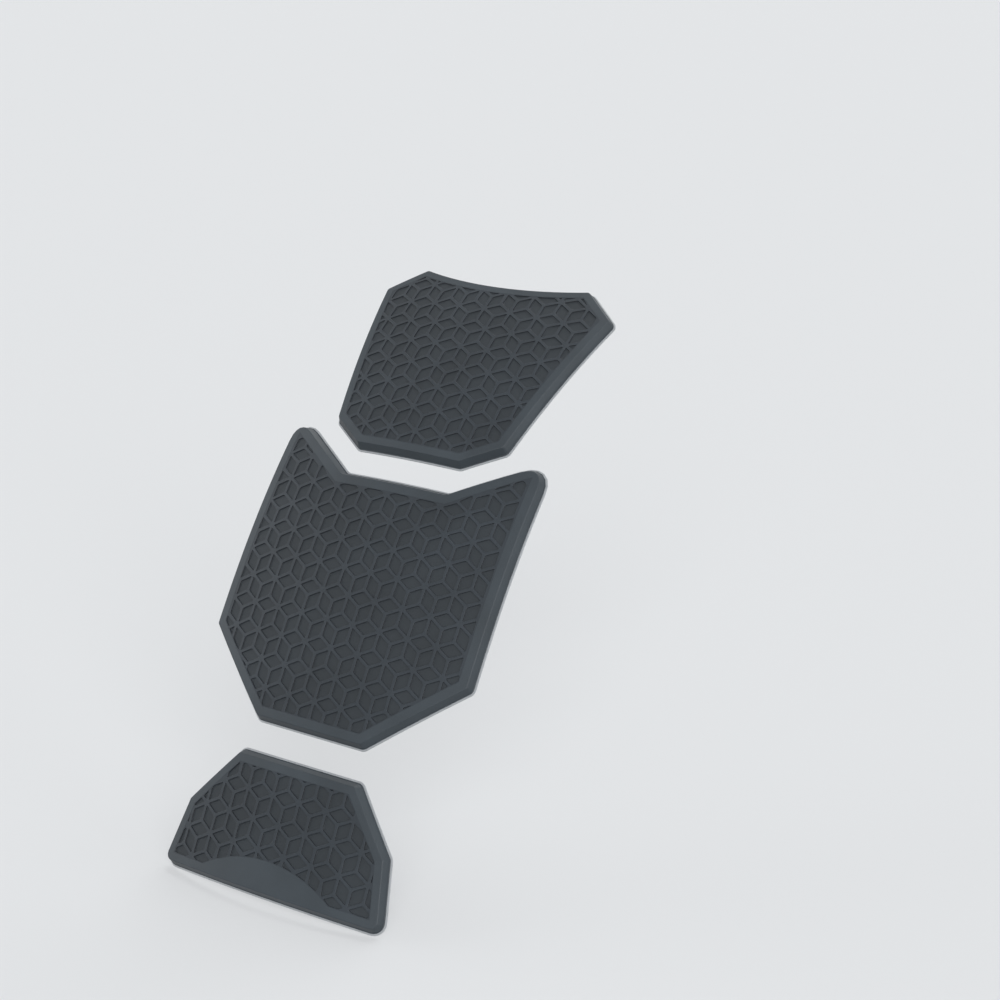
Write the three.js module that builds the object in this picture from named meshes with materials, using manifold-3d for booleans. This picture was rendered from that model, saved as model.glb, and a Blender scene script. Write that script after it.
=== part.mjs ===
// Motorcycle tank pad: a set of three moulded rubber segments, each on its own adhesive sheet,
// lying on the curved back of a fuel tank. Millimetres, +X to the right, +Y forwards, +Z up.
// Every segment is drawn flat as (across, forward, height off the tank) and then laid on the tank.
import * as THREE from 'three';
import Module from 'manifold-3d';
import { mergeVertices } from 'three/addons/utils/BufferGeometryUtils.js';

const wasm = await Module();
wasm.setup();

// The tank: its centreline seen from the side as (forward, up), and its roundness across.
const TANK_FRONT = new THREE.Vector2(109.3, 93.2);
const TANK_FRONT_PULL = new THREE.Vector2(1.3, 33.2);
const TANK_REAR_PULL = new THREE.Vector2(-37.6, -56.6);
const TANK_REAR = new THREE.Vector2(-79.6, -127.1);
const TANK_FRONT_REACH = 144.6; // along the centreline from the origin to TANK_FRONT
const CROSS_RADIUS_FRONT = 355;
const CROSS_RADIUS_REAR = 246;
const CROSS_EASE = 3; // the tank stays broad for most of its length and narrows near the seat

// Thicknesses, measured off the tank.
const ADHESIVE_THICKNESS = 0.4;
const SEAT_GAP = 0.3; // between an adhesive sheet and its segment
const FLANGE_THICKNESS = 0.6;
const PAD_THICKNESS = 3.8;
const PAD_BOTTOM = ADHESIVE_THICKNESS + SEAT_GAP;
const PAD_TOP = PAD_BOTTOM + PAD_THICKNESS;

// The moulded edge and the raised lattice of tumbling blocks.
const ADHESIVE_LIP = 0.8; // the sheet shows this far beyond its segment
const FLANGE_STEP = 0.5;
const CHAMFER_WIDTH = 1.4;
const CHAMFER_HEIGHT = 2.6;
const FIELD_MARGIN = 5.5; // from the outline to the recesses
const BLOCK_EDGE = 7.6; // side of one rhombus, from rib centre to rib centre
const RIB_WIDTH = 1.3;
const RECESS_DEPTH = 0.5;
const SMALLEST_RECESS = 3; // square millimetres: cut recesses below this are left solid

// The middle segment, drawn around the star of ribs at its centre.
const MIDDLE_HALF_WIDTH = 65.5;
const MIDDLE_HORN_FORWARD = 55.6;
const MIDDLE_NOTCH_HALF = 26.2;
const MIDDLE_NOTCH_FORWARD = 29.9;
const MIDDLE_HIP_FORWARD = -47.8;
const MIDDLE_TAIL_HALF = 26.8;
const MIDDLE_TAIL_FORWARD = -81.8;
const MIDDLE_STAR_FORWARD = 0;
const HORN_RADIUS = 8;
const MIDDLE_FIELD_MARGIN = 6;

// The upper segment, which nests in the notch of the middle one.
const UPPER_GAP = 12.3; // forwards, between the notch and the upper segment's tail
const UPPER_LENGTH = 102.4; // tail to front corners
const UPPER_SHOULDER_LENGTH = 88; // tail to shoulders
const UPPER_STAR_LENGTH = 57; // tail to a row of stars
const UPPER_HIP_HALF = 43.8;
const UPPER_SHOULDER_HALF = 59.8;
const UPPER_FRONT_HALF = 42.3;
const UPPER_FRONT_HOLLOW = 7.2; // how far the front edge curves in

// The lower segment.
const LOWER_GAP = 13.2; // between the middle segment's tail and the lower segment
const LOWER_LENGTH = 55.2; // front edge to rear edge
const LOWER_SHOULDER_LENGTH = 25.5; // front edge to shoulders
const LOWER_STAR_LENGTH = 25.9; // front edge to a row of stars
const LOWER_FRONT_HALF = 30.2;
const LOWER_SHOULDER_HALF = 51;
const LOWER_REAR_HALF = 56.6;
const LOWER_REAR_RADIUS = 4.8;
const BARE_ARCH_RADIUS = 60; // the plain patch at the rear edge, without recesses
const BARE_ARCH_RISE = 14.8; // from the rear edge to the top of the patch

const CORNER_RADIUS = 2.5;
const SHARPEST_RADIUS = 0.4; // a corner that is moved inwards keeps at least this
const ARC_STEPS = 2; // straight pieces in a rounded corner
const ARCH_SIDES = 36;
const HOLLOW_STEPS = 6; // straight pieces in the curved front edge
const PAD_CHORD_ERROR = 0.24; // how far a straight edge may lie off the tank's curve before it is split
const SHEET_CHORD_ERROR = 0.5;
const CAP_RIM = 8; // the ends of a block get a ring of points this far in, for even triangles
const CUT_MARGIN = 2; // how far a cutting solid stands clear of what it cuts

const spine = new THREE.CubicBezierCurve(TANK_FRONT, TANK_FRONT_PULL, TANK_REAR_PULL, TANK_REAR);
const spineLength = spine.getLength();

// Lays one point of the flat drawing on the tank.
function layOnTank(point) {
  const distance = TANK_FRONT_REACH - point.y;
  const onSpine = THREE.MathUtils.clamp(distance, 0, spineLength);
  const share = onSpine / spineLength;
  const tangent = spine.getTangentAt(share);
  const station = spine.getPointAt(share).addScaledVector(tangent, distance - onSpine);
  const easedShare = share ** CROSS_EASE;
  const curvature = THREE.MathUtils.lerp(1 / CROSS_RADIUS_FRONT, 1 / CROSS_RADIUS_REAR, easedShare);
  const turn = point.x * curvature;
  const radius = 1 / curvature + point.z;
  const lift = radius * Math.cos(turn) - 1 / curvature;
  const across = radius * Math.sin(turn);
  return new THREE.Vector3(across, station.x + lift * tangent.y, station.y - lift * tangent.x);
}

// Closes an outline from its right half, listed from the front to the rear, and its mirror image;
// a front edge that isn't straight brings its own points, from right to left.
// Corners are [across, forward, radius] and run anticlockwise; a radius of 0 stays a plain point.
function symmetricCorners(rightCorners, frontEdge = []) {
  const leftCorners = rightCorners.map(([x, y, radius]) => [-x, y, radius]);
  return [...rightCorners.toReversed(), ...frontEdge, ...leftCorners];
}

// The inner points of a front edge that is a hollow arc between its two corners.
function hollowEdge(half, forward, hollow) {
  const radius = (half ** 2 + hollow ** 2) / (2 * hollow);
  const reach = Math.asin(half / radius);
  return Array.from({ length: HOLLOW_STEPS - 1 }, (_, step) => {
    const angle = reach * (1 - (2 * (step + 1)) / HOLLOW_STEPS);
    return [radius * Math.sin(angle), forward - hollow + radius * (1 - Math.cos(angle)), 0];
  });
}

// The outline moved inwards by the same distance everywhere, with its corners made into arcs;
// a negative distance moves it out.
function outlineAt(corners, distance) {
  const moved = corners.map(([x, y, radius], index) => {
    const [px, py] = corners.at(index - 1);
    const [nx, ny] = corners[(index + 1) % corners.length];
    const incoming = new THREE.Vector2(x - px, y - py).normalize();
    const outgoing = new THREE.Vector2(nx - x, ny - y).normalize();
    const shift = new THREE.Vector2(-incoming.y - outgoing.y, incoming.x + outgoing.x)
      .multiplyScalar(distance / (1 + incoming.dot(outgoing)));
    const turn = Math.sign(incoming.cross(outgoing));
    const arcRadius = radius === 0 ? 0 : Math.max(radius - turn * distance, SHARPEST_RADIUS);
    return { point: shift.add(new THREE.Vector2(x, y)), radius: arcRadius };
  });
  return moved.flatMap(({ point, radius }, index) => {
    if (radius === 0) return [point];
    const toPrevious = moved.at(index - 1).point.clone().sub(point).normalize();
    const toNext = moved[(index + 1) % moved.length].point.clone().sub(point).normalize();
    const halfAngle = Math.acos(toPrevious.dot(toNext)) / 2;
    const centre = toPrevious.clone().add(toNext).setLength(radius / Math.sin(halfAngle)).add(point);
    const start = toPrevious.multiplyScalar(radius / Math.tan(halfAngle)).add(point).sub(centre);
    const end = toNext.multiplyScalar(radius / Math.tan(halfAngle)).add(point).sub(centre);
    const sweep = Math.atan2(start.cross(end), start.dot(end));
    return Array.from({ length: ARC_STEPS + 1 }, (_, step) =>
      start.clone().rotateAround(new THREE.Vector2(), (sweep * step) / ARC_STEPS).add(centre));
  });
}

// Upright solid of an outline between two heights.
function prism(outline, bottom, top) {
  const options = { depth: top - bottom, bevelEnabled: false };
  return solid(new THREE.ExtrudeGeometry(new THREE.Shape(outline), options).translate(0, 0, bottom));
}

// The same corners without their arcs.
function plainCorners(corners) {
  return corners.map(([x, y]) => [x, y, 0]);
}

// A moulded block: the same outline at several [inset, height] levels from the bottom up, closed at its ends.
function lofted(corners, levels) {
  const rings = levels.map(([distance]) => outlineAt(corners, distance));
  const points = rings.flatMap((ring, level) => ring.map(({ x, y }) => [x, y, levels[level][1]]));
  const count = rings[0].length;
  const faces = [];
  for (let low = 0; low < points.length - count; low += 1) {
    const lowNext = low % count === count - 1 ? low + 1 - count : low + 1;
    faces.push([low, lowNext, lowNext + count], [low, lowNext + count, low + count]);
  }
  for (const [level, flip] of [[0, true], [rings.length - 1, false]]) {
    const [distance, height] = levels[level];
    const rim = outlineAt(plainCorners(corners), distance + CAP_RIM);
    const ringFaces = THREE.ShapeUtils.triangulateShape(rings[level], [rim]);
    const rimFaces = THREE.ShapeUtils.triangulateShape(rim, []);
    const capFaces = [...ringFaces, ...rimFaces.map((face) => face.map((index) => index + count))];
    const pointOf = (index) => (index < count ? index + level * count : index - count + points.length);
    for (const face of capFaces) {
      const placed = face.map(pointOf);
      faces.push(flip ? placed.reverse() : placed);
    }
    points.push(...rim.map(({ x, y }) => [x, y, height]));
  }
  const geometry = new THREE.BufferGeometry();
  geometry.setAttribute('position', new THREE.Float32BufferAttribute(points.flat(), 3));
  geometry.setIndex(faces.flat());
  return solid(geometry);
}

// Turns a closed geometry into a solid that can be joined and cut.
function solid(geometry) {
  geometry.deleteAttribute('normal');
  geometry.deleteAttribute('uv');
  const merged = mergeVertices(geometry);
  return new wasm.Manifold(new wasm.Mesh({
    numProp: 3,
    vertProperties: merged.attributes.position.array,
    triVerts: Uint32Array.from(merged.index.array),
  }));
}

// Splits a face at the middles of its marked edges; a middle of -1 marks none.
function splitFace(a, b, c, ab, bc, ca) {
  const marked = [ab, bc, ca].filter((middle) => middle >= 0).length;
  if (marked === 0) return [[a, b, c]];
  if (marked === 3) return [[a, ab, ca], [ab, b, bc], [ca, bc, c], [ab, bc, ca]];
  if (ab < 0 || (marked === 2 && bc < 0)) return splitFace(b, c, a, bc, ca, ab);
  if (marked === 1) return [[a, ab, c], [ab, b, c]];
  return [[ab, b, bc], [a, ab, bc], [a, bc, c]];
}

// Splits edges until each, once laid on the tank, keeps to its curve.
function splitToCurve(points, faces, chordError) {
  const middles = new Map();
  const middleOf = (a, b) => {
    const key = a < b ? `${a} ${b}` : `${b} ${a}`;
    if (!middles.has(key)) {
      const middle = points[a].clone().lerp(points[b], 0.5);
      const chordMiddle = layOnTank(points[a]).lerp(layOnTank(points[b]), 0.5);
      const strays = layOnTank(middle).distanceTo(chordMiddle) > chordError;
      middles.set(key, strays ? points.push(middle) - 1 : -1);
    }
    return middles.get(key);
  };
  const split = faces.flatMap(([a, b, c]) =>
    splitFace(a, b, c, middleOf(a, b), middleOf(b, c), middleOf(c, a)));
  return split.length === faces.length ? split : splitToCurve(points, split, chordError);
}

// Lays a flat solid on the tank and gives its mesh.
function laidMesh(name, flatSolid, chordError, material) {
  const { vertProperties, triVerts } = flatSolid.getMesh();
  const points = Array.from({ length: vertProperties.length / 3 }, (_, index) =>
    new THREE.Vector3().fromArray(vertProperties, 3 * index));
  const flatFaces = Array.from({ length: triVerts.length / 3 }, (_, index) =>
    [...triVerts.subarray(3 * index, 3 * index + 3)]);
  const faces = splitToCurve(points, flatFaces, chordError);
  const geometry = new THREE.BufferGeometry().setFromPoints(points.map(layOnTank));
  geometry.setIndex(faces.flat());
  geometry.computeVertexNormals();
  const mesh = new THREE.Mesh(geometry, material);
  mesh.name = name;
  return mesh;
}

// The rhombic recesses between the ribs: three round every star, cut short at the edge of the field.
function recesses(corners, margin, starForward, bareArch) {
  const pitch = BLOCK_EDGE * Math.sqrt(3);
  const rowStep = (pitch * Math.sqrt(3)) / 2;
  const shrink = 1 - RIB_WIDTH / (BLOCK_EDGE * Math.sin(Math.PI / 3));
  const rhombus = [[pitch, 0], [0, BLOCK_EDGE], [-pitch, 0], [0, -BLOCK_EDGE]]
    .map(([x, y]) => new THREE.Vector2(x, y).multiplyScalar(shrink / 2));
  const floor = PAD_TOP - RECESS_DEPTH;
  const wholeField = prism(outlineAt(plainCorners(corners), margin), floor, PAD_TOP + CUT_MARGIN);
  const field = bareArch ? wholeField.subtract(bareArch) : wholeField;
  const reach = new THREE.Box2().setFromPoints(outlineAt(corners, 0));
  const origin = new THREE.Vector2();
  const cuts = [];
  const firstRow = Math.floor((reach.min.y - starForward) / rowStep);
  const lastRow = Math.ceil((reach.max.y - starForward) / rowStep);
  const lastColumn = Math.ceil(reach.max.x / pitch);
  for (let row = firstRow; row <= lastRow; row += 1) {
    const shift = row % 2 === 0 ? 0 : 0.5; // every other row of stars stands half a pitch aside
    for (let column = -lastColumn - 1; column <= lastColumn; column += 1) {
      const star = new THREE.Vector2((column + shift) * pitch, starForward + row * rowStep);
      for (const turn of [0, Math.PI / 3, (2 * Math.PI) / 3]) {
        const centre = new THREE.Vector2(pitch / 2, 0).rotateAround(origin, turn).add(star);
        const block = rhombus.map((corner) => corner.clone().rotateAround(origin, turn).add(centre));
        const cut = prism(block, floor, PAD_TOP + CUT_MARGIN).intersect(field);
        if (cut.volume() > SMALLEST_RECESS * (RECESS_DEPTH + CUT_MARGIN)) cuts.push(cut);
      }
    }
  }
  return cuts.reduce((sum, cut) => sum.add(cut));
}

// One rubber segment: a thin flange, a chamfered body on it and the recesses cut into its top.
function rubberSegment(name, corners, margin, starForward, bareArch) {
  const flangeTop = PAD_BOTTOM + FLANGE_THICKNESS;
  const block = lofted(corners, [
    [0, PAD_BOTTOM],
    [0, flangeTop],
    [FLANGE_STEP, flangeTop],
    [FLANGE_STEP, PAD_TOP - CHAMFER_HEIGHT],
    [FLANGE_STEP + CHAMFER_WIDTH, PAD_TOP],
  ]);
  const rubber = new THREE.MeshStandardMaterial({ color: '#3c4248', roughness: 0.62, metalness: 0 });
  const moulded = block.subtract(recesses(corners, margin, starForward, bareArch));
  return laidMesh(name, moulded, PAD_CHORD_ERROR, rubber);
}

// The double-sided adhesive sheet under a segment, a little larger than it.
function adhesiveSheet(name, corners) {
  const sheet = lofted(corners, [[-ADHESIVE_LIP, 0], [-ADHESIVE_LIP, ADHESIVE_THICKNESS]]);
  const film = new THREE.MeshStandardMaterial({ color: '#c9ced3', roughness: 0.35, metalness: 0 });
  return laidMesh(name, sheet, SHEET_CHORD_ERROR, film);
}

// Middle segment: notched in front for the upper one, straight sides, tapered tail.
const middleCorners = symmetricCorners([
  [MIDDLE_NOTCH_HALF, MIDDLE_NOTCH_FORWARD, CORNER_RADIUS],
  [MIDDLE_HALF_WIDTH, MIDDLE_HORN_FORWARD, HORN_RADIUS],
  [MIDDLE_HALF_WIDTH, MIDDLE_HIP_FORWARD, CORNER_RADIUS],
  [MIDDLE_TAIL_HALF, MIDDLE_TAIL_FORWARD, CORNER_RADIUS],
]);

// Upper segment: its tail follows the notch of the middle one at the gap.
const notchSlope = (MIDDLE_HORN_FORWARD - MIDDLE_NOTCH_FORWARD) / (MIDDLE_HALF_WIDTH - MIDDLE_NOTCH_HALF);
const upperTail = MIDDLE_NOTCH_FORWARD + UPPER_GAP;
const upperFront = upperTail + UPPER_LENGTH;
const upperCorners = symmetricCorners([
  [UPPER_FRONT_HALF, upperFront, CORNER_RADIUS],
  [UPPER_SHOULDER_HALF, upperTail + UPPER_SHOULDER_LENGTH, CORNER_RADIUS],
  [UPPER_HIP_HALF, upperTail + (UPPER_HIP_HALF - MIDDLE_NOTCH_HALF) * notchSlope, CORNER_RADIUS],
  [MIDDLE_NOTCH_HALF, upperTail, CORNER_RADIUS],
], hollowEdge(UPPER_FRONT_HALF, upperFront, UPPER_FRONT_HOLLOW));

// Lower segment: it widens towards the rear, where an arched patch stays bare.
const lowerFront = MIDDLE_TAIL_FORWARD - LOWER_GAP;
const lowerRear = lowerFront - LOWER_LENGTH;
const lowerCorners = symmetricCorners([
  [LOWER_FRONT_HALF, lowerFront, CORNER_RADIUS],
  [LOWER_SHOULDER_HALF, lowerFront - LOWER_SHOULDER_LENGTH, CORNER_RADIUS],
  [LOWER_REAR_HALF, lowerRear, LOWER_REAR_RADIUS],
]);
const archHeight = 2 * (RECESS_DEPTH + 2 * CUT_MARGIN); // it clears the field above and below
const archDisc = new THREE.CylinderGeometry(BARE_ARCH_RADIUS, BARE_ARCH_RADIUS, archHeight, ARCH_SIDES)
  .rotateX(Math.PI / 2)
  .translate(0, lowerRear + BARE_ARCH_RISE - BARE_ARCH_RADIUS, PAD_TOP);

const tankPad = new THREE.Group();
tankPad.add(
  adhesiveSheet('upper_adhesive', upperCorners),
  rubberSegment('upper_pad', upperCorners, FIELD_MARGIN, upperTail + UPPER_STAR_LENGTH),
  adhesiveSheet('middle_adhesive', middleCorners),
  rubberSegment('middle_pad', middleCorners, MIDDLE_FIELD_MARGIN, MIDDLE_STAR_FORWARD),
  adhesiveSheet('lower_adhesive', lowerCorners),
  rubberSegment('lower_pad', lowerCorners, FIELD_MARGIN, lowerFront - LOWER_STAR_LENGTH, solid(archDisc)),
);

export default tankPad;
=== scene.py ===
import math

import bmesh
import bpy
import numpy as np
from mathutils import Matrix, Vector
from mathutils.geometry import interpolate_bezier


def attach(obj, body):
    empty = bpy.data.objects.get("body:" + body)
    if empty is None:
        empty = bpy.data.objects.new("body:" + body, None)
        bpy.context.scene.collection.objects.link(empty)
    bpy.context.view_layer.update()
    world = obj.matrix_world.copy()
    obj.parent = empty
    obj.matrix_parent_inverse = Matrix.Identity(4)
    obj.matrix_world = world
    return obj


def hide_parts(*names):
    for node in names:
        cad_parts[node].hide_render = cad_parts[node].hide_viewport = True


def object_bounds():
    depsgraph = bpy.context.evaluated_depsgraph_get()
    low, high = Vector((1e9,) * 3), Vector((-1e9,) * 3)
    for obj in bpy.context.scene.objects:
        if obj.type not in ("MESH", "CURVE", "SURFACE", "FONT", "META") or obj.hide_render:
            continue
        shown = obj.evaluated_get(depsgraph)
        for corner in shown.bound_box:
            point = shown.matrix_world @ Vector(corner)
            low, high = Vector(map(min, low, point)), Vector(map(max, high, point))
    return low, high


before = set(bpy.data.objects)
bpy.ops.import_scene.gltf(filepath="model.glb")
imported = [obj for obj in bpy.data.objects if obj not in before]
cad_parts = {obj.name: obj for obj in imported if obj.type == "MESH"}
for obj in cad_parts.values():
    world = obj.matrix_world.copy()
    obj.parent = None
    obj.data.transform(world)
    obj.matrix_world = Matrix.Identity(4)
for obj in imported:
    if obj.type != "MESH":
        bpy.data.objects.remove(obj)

cad_box = [list(corner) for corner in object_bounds()]
bpy.ops.object.select_all(action="DESELECT")
MM = 0.001

# Camera: it stands behind and above the tank, to the right of the pad, and looks forwards
# through a long lens. The pad is off the middle of the picture because the camera points past it.
CAMERA_PLACE = Vector((452.72, -615.71, 280.85)) * MM
CAMERA_AZIMUTH = math.radians(32.289)
CAMERA_ELEVATION = math.radians(18.815)
CAMERA_LENS = 69.698
SENSOR_WIDTH = 36

bpy.ops.object.camera_add(location=CAMERA_PLACE)
camera = bpy.context.object
camera.name = "camera"
camera.rotation_euler = (math.pi / 2 - CAMERA_ELEVATION, 0, CAMERA_AZIMUTH)
camera.data.lens = CAMERA_LENS
camera.data.sensor_width = SENSOR_WIDTH
camera.data.clip_start = 0.05
camera.data.clip_end = 60
bpy.context.scene.camera = camera
bpy.context.scene.view_settings.view_transform = "Standard"

# Studio floor: one pale, matt sheet of paper that runs out of the picture on every side.
# It lies just under the lowest point of the pad. It looks pale to the camera and in
# reflections, and throws less light back up at the pad.
FLOOR_SIZE = 40
FLOOR_DROP = 0.5 * MM
FLOOR_COLOUR = (0.7, 0.715, 0.73, 1)
FLOOR_BOUNCE = (0.3, 0.31, 0.32, 1)
BACKDROP_COLOUR = (0.8, 0.81, 0.82, 1)
BACKDROP_SHARE = 0.5


def seen_directly(tree):
    """The socket that is 1 for the camera, for reflections and through the clear film."""
    rays = tree.nodes.new("ShaderNodeLightPath")
    seen = rays.outputs["Is Camera Ray"]
    for kind in ("Is Glossy Ray", "Is Transmission Ray"):
        both = tree.nodes.new("ShaderNodeMath")
        both.operation = "MAXIMUM"
        tree.links.new(seen, both.inputs[0])
        tree.links.new(rays.outputs[kind], both.inputs[1])
        seen = both.outputs["Value"]
    return seen


bpy.ops.mesh.primitive_grid_add(x_subdivisions=8, y_subdivisions=8, size=FLOOR_SIZE,
                                location=(0, 0, cad_box[0][2] - FLOOR_DROP))
floor = bpy.context.object
floor.name = "floor"
paper = bpy.data.materials.new("studio_paper")
paper.use_nodes = True
paper_nodes, paper_links = paper.node_tree.nodes, paper.node_tree.links
paper_shader = paper_nodes["Principled BSDF"]
paper_shader.inputs["Roughness"].default_value = 0.9
paper_shader.inputs["Specular IOR Level"].default_value = 0.1
paper_seen = seen_directly(paper.node_tree)
paper_tone = paper_nodes.new("ShaderNodeMix")
paper_tone.data_type = "RGBA"
paper_tone.inputs["A"].default_value = FLOOR_BOUNCE
paper_tone.inputs["B"].default_value = FLOOR_COLOUR
paper_glow = paper_nodes.new("ShaderNodeEmission")
paper_glow.inputs["Color"].default_value = BACKDROP_COLOUR
paper_share = paper_nodes.new("ShaderNodeMath")
paper_share.operation = "MULTIPLY"
paper_share.inputs[1].default_value = BACKDROP_SHARE
paper_mix = paper_nodes.new("ShaderNodeMixShader")
paper_links.new(paper_seen, paper_tone.inputs["Factor"])
paper_links.new(paper_tone.outputs["Result"], paper_shader.inputs["Base Color"])
paper_links.new(paper_seen, paper_share.inputs[0])
paper_links.new(paper_share.outputs["Value"], paper_mix.inputs["Fac"])
paper_links.new(paper_shader.outputs["BSDF"], paper_mix.inputs[1])
paper_links.new(paper_glow.outputs["Emission"], paper_mix.inputs[2])
paper_links.new(paper_mix.outputs["Shader"], paper_nodes["Material Output"].inputs["Surface"])
floor.data.materials.append(paper)

# Lights: a wide soft key from the right behind the rider's seat, a high one from the front, two
# weak low ones from the right and the left, and the pale room.
LAMPS = (
    # name, how far round to the right, how high, how wide it looks, strength
    ("key", 40, 27, 50, 2.5),
    ("high", 180, 50, 50, 1.3),
    ("right", 95, 8, 40, 1.1),
    ("left", -75, 15, 50, 0.9),
)
ROOM_COLOUR = (0.22, 0.23, 0.24, 1)

for lamp_name, lamp_round, lamp_height, lamp_width, lamp_strength in LAMPS:
    bpy.ops.object.light_add(type="SUN", location=(0, 0, 1))
    lamp = bpy.context.object
    lamp.name = lamp_name
    lamp.rotation_euler = (math.radians(90 - lamp_height), 0, math.radians(lamp_round))
    lamp.data.angle = math.radians(lamp_width)
    lamp.data.energy = lamp_strength

room = bpy.data.worlds.new("room")
room.use_nodes = True
room_tone = room.node_tree.nodes.new("ShaderNodeMix")
room_tone.data_type = "RGBA"
room_tone.inputs["A"].default_value = ROOM_COLOUR
room_tone.inputs["B"].default_value = BACKDROP_COLOUR
room_light = room.node_tree.nodes["Background"]
room.node_tree.links.new(seen_directly(room.node_tree), room_tone.inputs["Factor"])
room.node_tree.links.new(room_tone.outputs["Result"], room_light.inputs["Color"])
bpy.context.scene.world = room

# Upper segment: moulded rubber, a thin flange with a chamfered body on it, and a raised
# lattice of tumbling blocks. It is modelled flat as (across, forward, off the tank), the
# recesses are pressed in with a rhombic punch, and the segment is then laid on the tank.
FLANGE_THICKNESS = 0.6 * MM
PAD_BOTTOM = 0.45 * MM
PAD_TOP = 4.5 * MM
CORNER_RADIUS = 3 * MM
CORNER_STEPS = 6
FIELD_MARGIN = 5.5 * MM
BLOCK_EDGE = 7.6 * MM
RIB_WIDTH = 1.3 * MM
PITCH = BLOCK_EDGE * math.sqrt(3)
ROW_STEP = PITCH * math.sqrt(3) / 2
CLEARANCE = 2 * MM  # cutting blocks reach this far, or more, past what they cut
RECESS_ROUNDING = 0.7 * MM
ROUNDING_SHARE = 0.45  # of a recess's shortest side, at most
ROUNDING_STEPS = 3
SHORTEST_SIDE = 0.9 * MM  # shorter sides of a trimmed recess are merged away
SMALLEST_RECESS = 0.8 * MM ** 2
COLUMNS_EACH_SIDE = 8
# The punch, from the rib's crown to the recess floor: how far in, how far down.
PUNCH_STEPS = ((0.07 * MM, 0.02 * MM), (0.06 * MM, 0.05 * MM), (0.03 * MM, 0.08 * MM),
               (0.02 * MM, 0.23 * MM), (0.03 * MM, 0.06 * MM), (0.06 * MM, 0.06 * MM))
PUNCH_START = 0.12 * MM  # how far out on the rib the punch starts
RECESS_FLOOR_DEPTH = 0.44 * MM  # level faces deeper than this are a recess's floor
FIELD_DROP = 0.03 * MM  # how far the lattice's field lies under the border
FIELD_FRAME = 0.35 * MM  # how far the field reaches past the recesses
# The moulded edge, from the flange to the crown: how far in, how far up.
EDGE_STEPS = ((0.1 * MM, 0.08 * MM), (0.2 * MM, 0), (0.12 * MM, 0.25 * MM), (0.16 * MM, 0.6 * MM),
              (1.14 * MM, 2.3 * MM), (0.1 * MM, 0.16 * MM), (0.1 * MM, 0.09 * MM),
              (0.12 * MM, 0.04 * MM), (0.12 * MM, 0.01 * MM), (0.1 * MM, 0))
SLICE = 4.5 * MM  # how finely a flat piece is divided before it is bent
SAME_PLACE = 0.002 * MM
NEARBY = 0.01 * MM
CORNER_ABOVE = math.radians(25)
STRAIGHT_BELOW = math.radians(2)
SMOOTH_BELOW = math.radians(48)
LARGE_FACES_WEIGHT = 80
STEEP_BELOW = 0.7  # upright part of a flank's normal, at most
LEVEL_ABOVE = 0.9  # upright part of a floor's normal, at least

# The tank: its centreline seen from the side as (forward, up), and its roundness across.
TANK_LINE = [Vector((forward, up)) * MM for forward, up in
             ((109.3, 93.2), (1.3, 33.2), (-37.6, -56.6), (-79.6, -127.1))]
TANK_FRONT_REACH = 144.6 * MM
CROSS_RADIUS_FRONT = 355 * MM
CROSS_RADIUS_REAR = 246 * MM
CROSS_EASE = 3
TANK_STATIONS = 400

stations = np.array(interpolate_bezier(*TANK_LINE, TANK_STATIONS))
steps_along = np.linalg.norm(np.diff(stations, axis=0), axis=1)
reaches = np.concatenate(([0], np.cumsum(steps_along)))
tangents = np.gradient(stations, reaches, axis=0)


def lay_on_tank(piece):
    """Bends a piece that is drawn flat over the tank's back."""
    flat = np.empty(len(piece.data.vertices) * 3)
    piece.data.vertices.foreach_get("co", flat)
    across, forward, off = flat.reshape(-1, 3).T
    distance = TANK_FRONT_REACH - forward
    on_line = np.clip(distance, 0, reaches[-1])
    tangent = np.stack([np.interp(on_line, reaches, tangents[:, k]) for k in (0, 1)])
    tangent /= np.linalg.norm(tangent, axis=0)
    station = np.stack([np.interp(on_line, reaches, stations[:, k]) for k in (0, 1)])
    station += tangent * (distance - on_line)
    share = (on_line / reaches[-1]) ** CROSS_EASE
    curvature = (1 - share) / CROSS_RADIUS_FRONT + share / CROSS_RADIUS_REAR
    turn = across * curvature
    lift = (1 / curvature + off) * np.cos(turn) - 1 / curvature
    laid = np.stack([(1 / curvature + off) * np.sin(turn),
                     station[0] + lift * tangent[1],
                     station[1] - lift * tangent[0]], axis=1)
    piece.data.vertices.foreach_set("co", laid.ravel())
    piece.data.update()


def select_where(piece, kind, test):
    """In edit mode, selects only the verts or faces whose place passes the test."""
    bpy.ops.mesh.select_mode(type={"verts": "VERT", "faces": "FACE"}[kind])
    bpy.ops.mesh.select_all(action="DESELECT")
    mesh = bmesh.from_edit_mesh(piece.data)
    for part in getattr(mesh, kind):
        points = [part.co] if kind == "verts" else [vertex.co for vertex in part.verts]
        place = sum(points, Vector()) / len(points)
        if test(place):
            part.select_set(True)
    mesh.select_flush_mode()
    bmesh.update_edit_mesh(piece.data)


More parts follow.
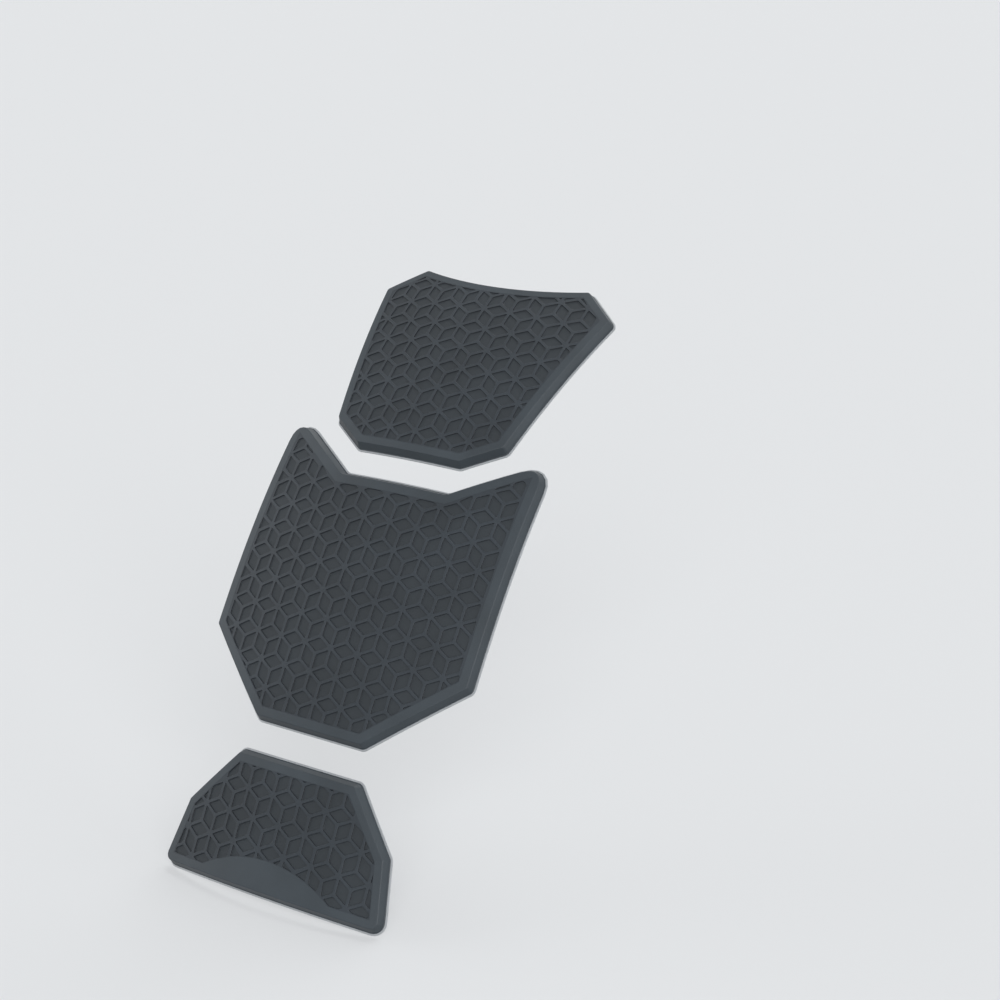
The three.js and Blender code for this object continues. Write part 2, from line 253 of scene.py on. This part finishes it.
def outline_face(name, corners, height):
    """Adds one upward face with these corners, (across, forward, radius), and rounds them."""
    bpy.ops.object.select_all(action="DESELECT")
    bpy.ops.mesh.primitive_circle_add(vertices=len(corners), fill_type="NGON", radius=0.1)
    piece = bpy.context.object
    piece.name = name
    for vertex, (x, y, _) in zip(piece.data.vertices, corners):
        vertex.co = (x, y, height)
    bpy.ops.object.mode_set(mode="EDIT")
    for index, (x, y, radius) in enumerate(corners):
        if radius == 0:
            continue
        corner = Vector((x, y, height))
        before = Vector((*corners[index - 1][:2], height)) - corner
        after = Vector((*corners[(index + 1) % len(corners)][:2], height)) - corner
        select_where(piece, "verts", lambda place: (place - corner).length < NEARBY)
        bpy.ops.mesh.bevel(offset=radius / math.tan(before.angle(after) / 2), offset_type="OFFSET",
                           segments=CORNER_STEPS, affect="VERTICES", clamp_overlap=False)
    bpy.ops.mesh.select_mode(type="FACE")
    bpy.ops.mesh.select_all(action="SELECT")
    if bmesh.from_edit_mesh(piece.data).faces[:][0].normal.z < 0:
        bpy.ops.mesh.flip_normals()
    return piece


def raise_face(height):
    """Extrudes the selected faces straight up, or down."""
    bpy.ops.mesh.extrude_region_move(TRANSFORM_OT_translate={"value": (0, 0, height)})


def moved_in(corners, distance):
    """The corners of a plain outline that lies this far inside."""
    inner = []
    for index, (x, y, radius) in enumerate(corners):
        px, py, _ = corners[index - 1]
        nx, ny, _ = corners[(index + 1) % len(corners)]
        incoming = Vector((x - px, y - py)).normalized()
        outgoing = Vector((nx - x, ny - y)).normalized()
        scale = distance / (1 + incoming.dot(outgoing))
        inner.append((x - (incoming.y + outgoing.y) * scale,
                      y + (incoming.x + outgoing.x) * scale, 0))
    return inner


def block(name, corners, low, high):
    """Closed upright block with these corners."""
    piece = outline_face(name, corners, high)
    raise_face(low - high)
    bpy.ops.mesh.select_all(action="SELECT")
    bpy.ops.mesh.normals_make_consistent(inside=False)
    bpy.ops.object.mode_set(mode="OBJECT")
    return piece


def cut(piece, tool, operation):
    """Cuts a piece with a tool, or keeps what both share, and removes the tool."""
    modifier = piece.modifiers.new("cut", "BOOLEAN")
    modifier.operation = operation
    modifier.solver = "MANIFOLD"
    modifier.object = tool
    bpy.context.view_layer.objects.active = piece
    bpy.ops.object.modifier_apply(modifier=modifier.name)
    bpy.data.objects.remove(tool)


def work_on(piece):
    """Selects one piece alone and opens it in edit mode."""
    bpy.ops.object.select_all(action="DESELECT")
    piece.select_set(True)
    bpy.context.view_layer.objects.active = piece
    bpy.ops.object.mode_set(mode="EDIT")
    bpy.ops.mesh.select_all(action="SELECT")


def join_all(pieces):
    """Joins pieces into the first one."""
    bpy.ops.object.select_all(action="DESELECT")
    for piece in pieces:
        piece.select_set(True)
    bpy.context.view_layer.objects.active = pieces[0]
    bpy.ops.object.join()
    bpy.ops.object.transform_apply(location=True, rotation=True, scale=True)
    return bpy.context.object


def round_upright_edges(piece):
    """Rounds a punch's own corners, as far as its shortest side lets them."""
    bpy.ops.mesh.select_mode(type="EDGE")
    bpy.ops.mesh.select_all(action="DESELECT")
    mesh = bmesh.from_edit_mesh(piece.data)
    shortest = BLOCK_EDGE
    for edge in mesh.edges:
        first, second = (vertex.co for vertex in edge.verts)
        if abs(first.z - second.z) < CLEARANCE / 2:
            shortest = min(shortest, edge.calc_length())
        elif edge.calc_face_angle() > CORNER_ABOVE:
            edge.select_set(True)
    bmesh.update_edit_mesh(piece.data)
    bpy.ops.mesh.bevel(offset=min(RECESS_ROUNDING, ROUNDING_SHARE * shortest), offset_type="OFFSET",
                       segments=ROUNDING_STEPS, affect="EDGES", clamp_overlap=False)


def field_block(corners, margin, extra, low, bare_patch):
    """A block over the lattice's field, this much wider than the recesses all round."""
    field = block("field", moved_in(corners, margin - extra), low, PAD_TOP + 2 * CLEARANCE)
    if bare_patch:
        cut(field, bare_patch(extra), "DIFFERENCE")
    return field


def finish_faces(piece, finish_of):
    """Gives a piece, face by face, the three finishes of moulded rubber and the painted shade on the
    recesses' flanks.
    """
    piece.data.materials.clear()
    for finish in (border_rubber, rib_rubber, recess_rubber, shaded_flank_paint):
        piece.data.materials.append(finish)
    for face in piece.data.polygons:
        face.material_index = finish_of(face)


def punches(corners, margin, star_forward, smallest, bare_patch):
    """All the punches of a segment: three round every star of the lattice, then trimmed."""
    half_long = (PITCH / 2) * (1 - RIB_WIDTH / (BLOCK_EDGE * math.sin(math.pi / 3)))
    half_short = half_long / math.sqrt(3)
    rhombus = moved_in([(half_long, 0, 0), (0, half_short, 0),
                        (-half_long, 0, 0), (0, -half_short, 0)], -PUNCH_START)
    crown = PAD_TOP - FIELD_DROP
    first = block("punch", rhombus, crown, crown + CLEARANCE)
    xs = [x for x, _, _ in corners]
    ys = [y for _, y, _ in corners]
    copies = []
    for row in range(math.floor((min(ys) - star_forward) / ROW_STEP),
                     math.ceil((max(ys) - star_forward) / ROW_STEP) + 1):
        shift = 0 if row % 2 == 0 else 0.5
        for column in range(-COLUMNS_EACH_SIDE, COLUMNS_EACH_SIDE + 1):
            star = Vector(((column + shift) * PITCH, star_forward + row * ROW_STEP, 0))
            for turn in (0, math.pi / 3, 2 * math.pi / 3):
                centre = star + Vector((math.cos(turn), math.sin(turn), 0)) * PITCH / 2
                if abs(centre.x) > max(xs) or not min(ys) < centre.y < max(ys):
                    continue
                copy = first.copy()
                copy.data = first.data.copy()
                copy.location = centre
                copy.rotation_euler = (0, 0, turn)
                bpy.context.collection.objects.link(copy)
                copies.append(copy)
    bpy.data.objects.remove(first)
    lattice = join_all(copies)
    field = field_block(corners, margin, PUNCH_START, PAD_TOP - CLEARANCE, bare_patch)
    cut(lattice, field, "INTERSECT")
    work_on(lattice)
    bpy.ops.mesh.separate(type="LOOSE")
    bpy.ops.object.mode_set(mode="OBJECT")
    kept = []
    for punch in list(bpy.context.selected_objects):
        work_on(punch)
        bpy.ops.mesh.remove_doubles(threshold=SHORTEST_SIDE)
        bpy.ops.mesh.dissolve_limited(angle_limit=STRAIGHT_BELOW)
        mesh = bmesh.from_edit_mesh(punch.data)
        useful = (all(edge.is_manifold for edge in mesh.edges)
                  and mesh.calc_volume() > smallest * CLEARANCE)
        if useful:
            round_upright_edges(punch)
        bpy.ops.object.mode_set(mode="OBJECT")
        if useful:
            kept.append(punch)
        else:
            bpy.data.objects.remove(punch)
    lattice = join_all(kept)
    work_on(lattice)
    select_where(lattice, "faces", lambda place: place.z < crown + NEARBY)
    for inwards, down in PUNCH_STEPS:
        bpy.ops.mesh.inset(thickness=inwards, depth=down, use_even_offset=True, use_individual=True)
    bpy.ops.object.mode_set(mode="OBJECT")
    floor_height = crown - RECESS_FLOOR_DEPTH

    def finish_of(face):
        # Steep faces are the recesses' flanks and get the painted shade.
        if abs(face.normal.z) < STEEP_BELOW:
            return SHADED_FLANK
        if face.normal.z < -LEVEL_ABOVE and face.center.z < floor_height:
            return RECESS
        return RIB

    finish_faces(lattice, finish_of)
    return lattice


def slice_up(piece):
    """Divides every face along a square grid, so that the piece can follow the tank."""
    bpy.context.view_layer.objects.active = piece
    bpy.ops.object.mode_set(mode="EDIT")
    mesh_box = np.array([v.co for v in bmesh.from_edit_mesh(piece.data).verts])
    for axis in (0, 1):
        normal = (1, 0, 0) if axis == 0 else (0, 1, 0)
        low, high = mesh_box[:, axis].min(), mesh_box[:, axis].max()
        for place in np.arange(low + SLICE, high, SLICE):
            bpy.ops.mesh.select_all(action="SELECT")
            bpy.ops.mesh.bisect(plane_co=Vector(normal) * place, plane_no=normal)
    bpy.ops.mesh.select_all(action="SELECT")
    bpy.ops.mesh.quads_convert_to_tris(quad_method="BEAUTY", ngon_method="BEAUTY")
    bpy.ops.mesh.remove_doubles(threshold=SAME_PLACE)
    bpy.ops.object.mode_set(mode="OBJECT")


def symmetric(right_corners, front_points=()):
    """The whole outline, anticlockwise, from its right half listed front to rear."""
    left = [(-x, y, radius) for x, y, radius in right_corners]
    return [*reversed(right_corners), *front_points, *left]


def rubber_segment(segment, corners, margin, star_forward, smallest, bare_patch=None):
    """One finished segment, laid on the tank. A star of the lattice lies at star_forward."""
    pad = outline_face(segment + "_rubber", corners, PAD_BOTTOM)
    raise_face(FLANGE_THICKNESS - EDGE_STEPS[0][1])
    for inwards, rise in EDGE_STEPS:
        bpy.ops.mesh.inset(thickness=inwards, depth=rise, use_even_offset=True)
    bpy.ops.mesh.select_all(action="SELECT")
    bpy.ops.mesh.normals_make_consistent(inside=False)
    bpy.ops.object.mode_set(mode="OBJECT")
    finish_faces(pad, lambda face: BORDER)
    field = field_block(corners, margin, FIELD_FRAME, PAD_TOP - FIELD_DROP, bare_patch)
    finish_faces(field, lambda face: RIB)
    cut(pad, field, "DIFFERENCE")
    cut(pad, punches(corners, margin, star_forward, smallest, bare_patch), "DIFFERENCE")
    slice_up(pad)
    lay_on_tank(pad)
    bpy.ops.object.select_all(action="DESELECT")
    pad.select_set(True)
    bpy.context.view_layer.objects.active = pad
    bpy.ops.object.shade_smooth_by_angle(angle=SMOOTH_BELOW)
    weighted = pad.modifiers.new("weighted", "WEIGHTED_NORMAL")
    weighted.keep_sharp = True
    weighted.weight = LARGE_FACES_WEIGHT
    bpy.ops.object.modifier_apply(modifier=weighted.name)
    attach(pad, "root")
    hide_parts(segment + "_pad")
    return pad


def rubber_material(name, colour, roughness, grain):
    """Matt moulded rubber: a fine spark-eroded grain and faint clouds in its colour."""
    material = bpy.data.materials.new(name)
    material.use_nodes = True
    nodes, links = material.node_tree.nodes, material.node_tree.links
    shader = nodes["Principled BSDF"]
    shader.inputs["Roughness"].default_value = roughness
    shader.inputs["Specular IOR Level"].default_value = 0.35
    place = nodes.new("ShaderNodeTexCoord")
    clouds = nodes.new("ShaderNodeTexNoise")
    clouds.inputs["Scale"].default_value = 45
    clouds.inputs["Detail"].default_value = 4
    tint = nodes.new("ShaderNodeValToRGB")
    tint.color_ramp.elements[0].position = 0.3
    tint.color_ramp.elements[0].color = (*[0.86 * c for c in colour], 1)
    tint.color_ramp.elements[1].position = 0.7
    tint.color_ramp.elements[1].color = (*[1.12 * c for c in colour], 1)
    fine = nodes.new("ShaderNodeTexNoise")
    fine.inputs["Scale"].default_value = 2600
    fine.inputs["Detail"].default_value = 3
    bump = nodes.new("ShaderNodeBump")
    bump.inputs["Strength"].default_value = grain
    bump.inputs["Distance"].default_value = 0.00008
    links.new(place.outputs["Object"], clouds.inputs["Vector"])
    links.new(place.outputs["Object"], fine.inputs["Vector"])
    links.new(clouds.outputs["Fac"], tint.inputs["Fac"])
    links.new(tint.outputs["Color"], shader.inputs["Base Color"])
    links.new(fine.outputs["Fac"], bump.inputs["Height"])
    links.new(bump.outputs["Normal"], shader.inputs["Normal"])
    return material


# Three finishes of one moulding and one painted shade: the border round the lattice and the bare
# patch, the ribs, the floors of the recesses, and near-black painted shade on the recesses' flanks.
BORDER, RIB, RECESS, SHADED_FLANK = range(4)
border_rubber = rubber_material("border_rubber", (0.034, 0.043, 0.051), 0.5, 0.35)
rib_rubber = rubber_material("rib_rubber", (0.0225, 0.029, 0.036), 0.55, 0.35)
recess_rubber = rubber_material("recess_rubber", (0.0205, 0.0257, 0.0305), 0.65, 0.6)
# Painted shade: this near-black colour on the recesses' flanks stands in for the shade that falls on
# them.
shaded_flank_paint = rubber_material("shaded_flank_paint", (0.007, 0.008, 0.01), 0.5, 0.1)


# Adhesive sheets: clear film with glue on both sides, one under each segment. Each is cut a
# little larger than its segment, so that a thin pale lip shows all round.
SHEET_THICKNESS = 0.4 * MM
SHEET_LIP = 0.8 * MM
SHEET_ROUNDING = 0.1 * MM
SHEET_SMOOTH_BELOW = math.radians(30)
FILM_DARK = (0.38, 0.4, 0.42, 1)
FILM_LIGHT = (0.48, 0.5, 0.52, 1)

film = bpy.data.materials.new("adhesive_film")
film.use_nodes = True
film_nodes, film_links = film.node_tree.nodes, film.node_tree.links
film_shader = film_nodes["Principled BSDF"]
film_shader.inputs["Roughness"].default_value = 0.3
film_shader.inputs["Transmission Weight"].default_value = 0.35
film_place = film_nodes.new("ShaderNodeTexCoord")
film_clouds = film_nodes.new("ShaderNodeTexNoise")
film_clouds.inputs["Scale"].default_value = 120
film_tint = film_nodes.new("ShaderNodeValToRGB")
film_tint.color_ramp.elements[0].color = FILM_DARK
film_tint.color_ramp.elements[1].color = FILM_LIGHT
film_links.new(film_place.outputs["Object"], film_clouds.inputs["Vector"])
film_links.new(film_clouds.outputs["Fac"], film_tint.inputs["Fac"])
film_links.new(film_tint.outputs["Color"], film_shader.inputs["Base Color"])


def adhesive_sheet(segment, corners):
    """The film under one segment, laid on the tank."""
    wider = [(x, y, radius + SHEET_LIP if radius else 0)
             for (x, y, _), (_, _, radius) in zip(moved_in(corners, -SHEET_LIP), corners)]
    sheet = outline_face(segment + "_film", wider, 0)
    raise_face(SHEET_THICKNESS - SHEET_ROUNDING)
    bpy.ops.mesh.inset(thickness=SHEET_ROUNDING, depth=SHEET_ROUNDING, use_even_offset=True)
    bpy.ops.mesh.select_all(action="SELECT")
    bpy.ops.mesh.normals_make_consistent(inside=False)
    slice_up(sheet)
    sheet.data.materials.clear()
    sheet.data.materials.append(film)
    lay_on_tank(sheet)
    bpy.ops.object.select_all(action="DESELECT")
    sheet.select_set(True)
    bpy.context.view_layer.objects.active = sheet
    bpy.ops.object.shade_smooth_by_angle(angle=SHEET_SMOOTH_BELOW)
    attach(sheet, "root")
    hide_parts(segment + "_adhesive")
    return sheet


# The upper segment's outline: its front edge curves in, and its tail follows the notch of the
# middle segment, so the sizes of that notch come first.
NOTCH_HALF = 26.2 * MM
NOTCH_FORWARD = 29.9 * MM
HORN_FORWARD = 55.6 * MM
MIDDLE_HALF_WIDTH = 65.5 * MM
NOTCH_SLOPE = (HORN_FORWARD - NOTCH_FORWARD) / (MIDDLE_HALF_WIDTH - NOTCH_HALF)
UPPER_TAIL = 42.2 * MM
UPPER_HIP_HALF = 43.8 * MM
UPPER_HIP = UPPER_TAIL + (UPPER_HIP_HALF - NOTCH_HALF) * NOTCH_SLOPE
UPPER_SHOULDER_HALF = 59.8 * MM
UPPER_SHOULDER = UPPER_TAIL + 88 * MM
UPPER_FRONT = UPPER_TAIL + 102.4 * MM
UPPER_FRONT_HALF = 42.3 * MM
UPPER_FRONT_HOLLOW = 7.2 * MM
UPPER_STAR = UPPER_TAIL + 57 * MM
HOLLOW_STEPS = 16

hollow_radius = (UPPER_FRONT_HALF ** 2 + UPPER_FRONT_HOLLOW ** 2) / (2 * UPPER_FRONT_HOLLOW)
hollow_reach = math.asin(UPPER_FRONT_HALF / hollow_radius)
hollow_points = []
for step in range(1, HOLLOW_STEPS):
    angle = hollow_reach * (1 - 2 * step / HOLLOW_STEPS)
    rise = hollow_radius * (1 - math.cos(angle))
    hollow_points.append((hollow_radius * math.sin(angle), UPPER_FRONT - UPPER_FRONT_HOLLOW + rise, 0))
upper_corners = symmetric([
    (UPPER_FRONT_HALF, UPPER_FRONT, CORNER_RADIUS),
    (UPPER_SHOULDER_HALF, UPPER_SHOULDER, CORNER_RADIUS),
    (UPPER_HIP_HALF, UPPER_HIP, CORNER_RADIUS),
    (NOTCH_HALF, UPPER_TAIL, CORNER_RADIUS),
], hollow_points)
rubber_segment("upper", upper_corners, FIELD_MARGIN, UPPER_STAR, SMALLEST_RECESS)
adhesive_sheet("upper", upper_corners)

# Middle segment: the same moulded rubber, notched in front so that the upper one nests in it.
# Its horns are rounder than its other corners, its tail is tapered, and it has its own film.
MIDDLE_HIP = -47.8 * MM
MIDDLE_TAIL = -81.8 * MM
MIDDLE_TAIL_HALF = 26.8 * MM
HORN_RADIUS = 8 * MM
MIDDLE_FIELD_MARGIN = 6 * MM
MIDDLE_STAR = 0
MIDDLE_SMALLEST_RECESS = 2.6 * MM ** 2

middle_corners = symmetric([
    (NOTCH_HALF, NOTCH_FORWARD, CORNER_RADIUS),
    (MIDDLE_HALF_WIDTH, HORN_FORWARD, HORN_RADIUS),
    (MIDDLE_HALF_WIDTH, MIDDLE_HIP, CORNER_RADIUS),
    (MIDDLE_TAIL_HALF, MIDDLE_TAIL, CORNER_RADIUS),
])
rubber_segment("middle", middle_corners, MIDDLE_FIELD_MARGIN, MIDDLE_STAR, MIDDLE_SMALLEST_RECESS)
adhesive_sheet("middle", middle_corners)

# Lower segment: the same moulded rubber on its own film. It widens towards the rider, and an
# arched patch at its rear edge has no recesses and stays bare.
LOWER_FRONT = -95 * MM
LOWER_FRONT_HALF = 30.2 * MM
LOWER_SHOULDER = LOWER_FRONT - 25.5 * MM
LOWER_SHOULDER_HALF = 51 * MM
LOWER_REAR = LOWER_FRONT - 55.2 * MM
LOWER_REAR_HALF = 56.6 * MM
LOWER_STAR = LOWER_FRONT - 25.9 * MM
LOWER_REAR_RADIUS = 4.8 * MM
ARCH_RADIUS = 60 * MM
ARCH_RISE = 14.8 * MM
ARCH_STEPS = 72

lower_corners = symmetric([
    (LOWER_FRONT_HALF, LOWER_FRONT, CORNER_RADIUS),
    (LOWER_SHOULDER_HALF, LOWER_SHOULDER, CORNER_RADIUS),
    (LOWER_REAR_HALF, LOWER_REAR, LOWER_REAR_RADIUS),
])


def arched_patch(inwards):
    """An upright round block over the bare patch, this much smaller than the patch."""
    radius = ARCH_RADIUS - inwards
    middle = LOWER_REAR + ARCH_RISE - ARCH_RADIUS
    points = []
    for step in range(ARCH_STEPS):
        angle = 2 * math.pi * step / ARCH_STEPS
        points.append((radius * math.cos(angle), middle + radius * math.sin(angle), 0))
    return block("arch", points, 0, PAD_TOP + 3 * CLEARANCE)


rubber_segment("lower", lower_corners, FIELD_MARGIN, LOWER_STAR, SMALLEST_RECESS, arched_patch)
adhesive_sheet("lower", lower_corners)
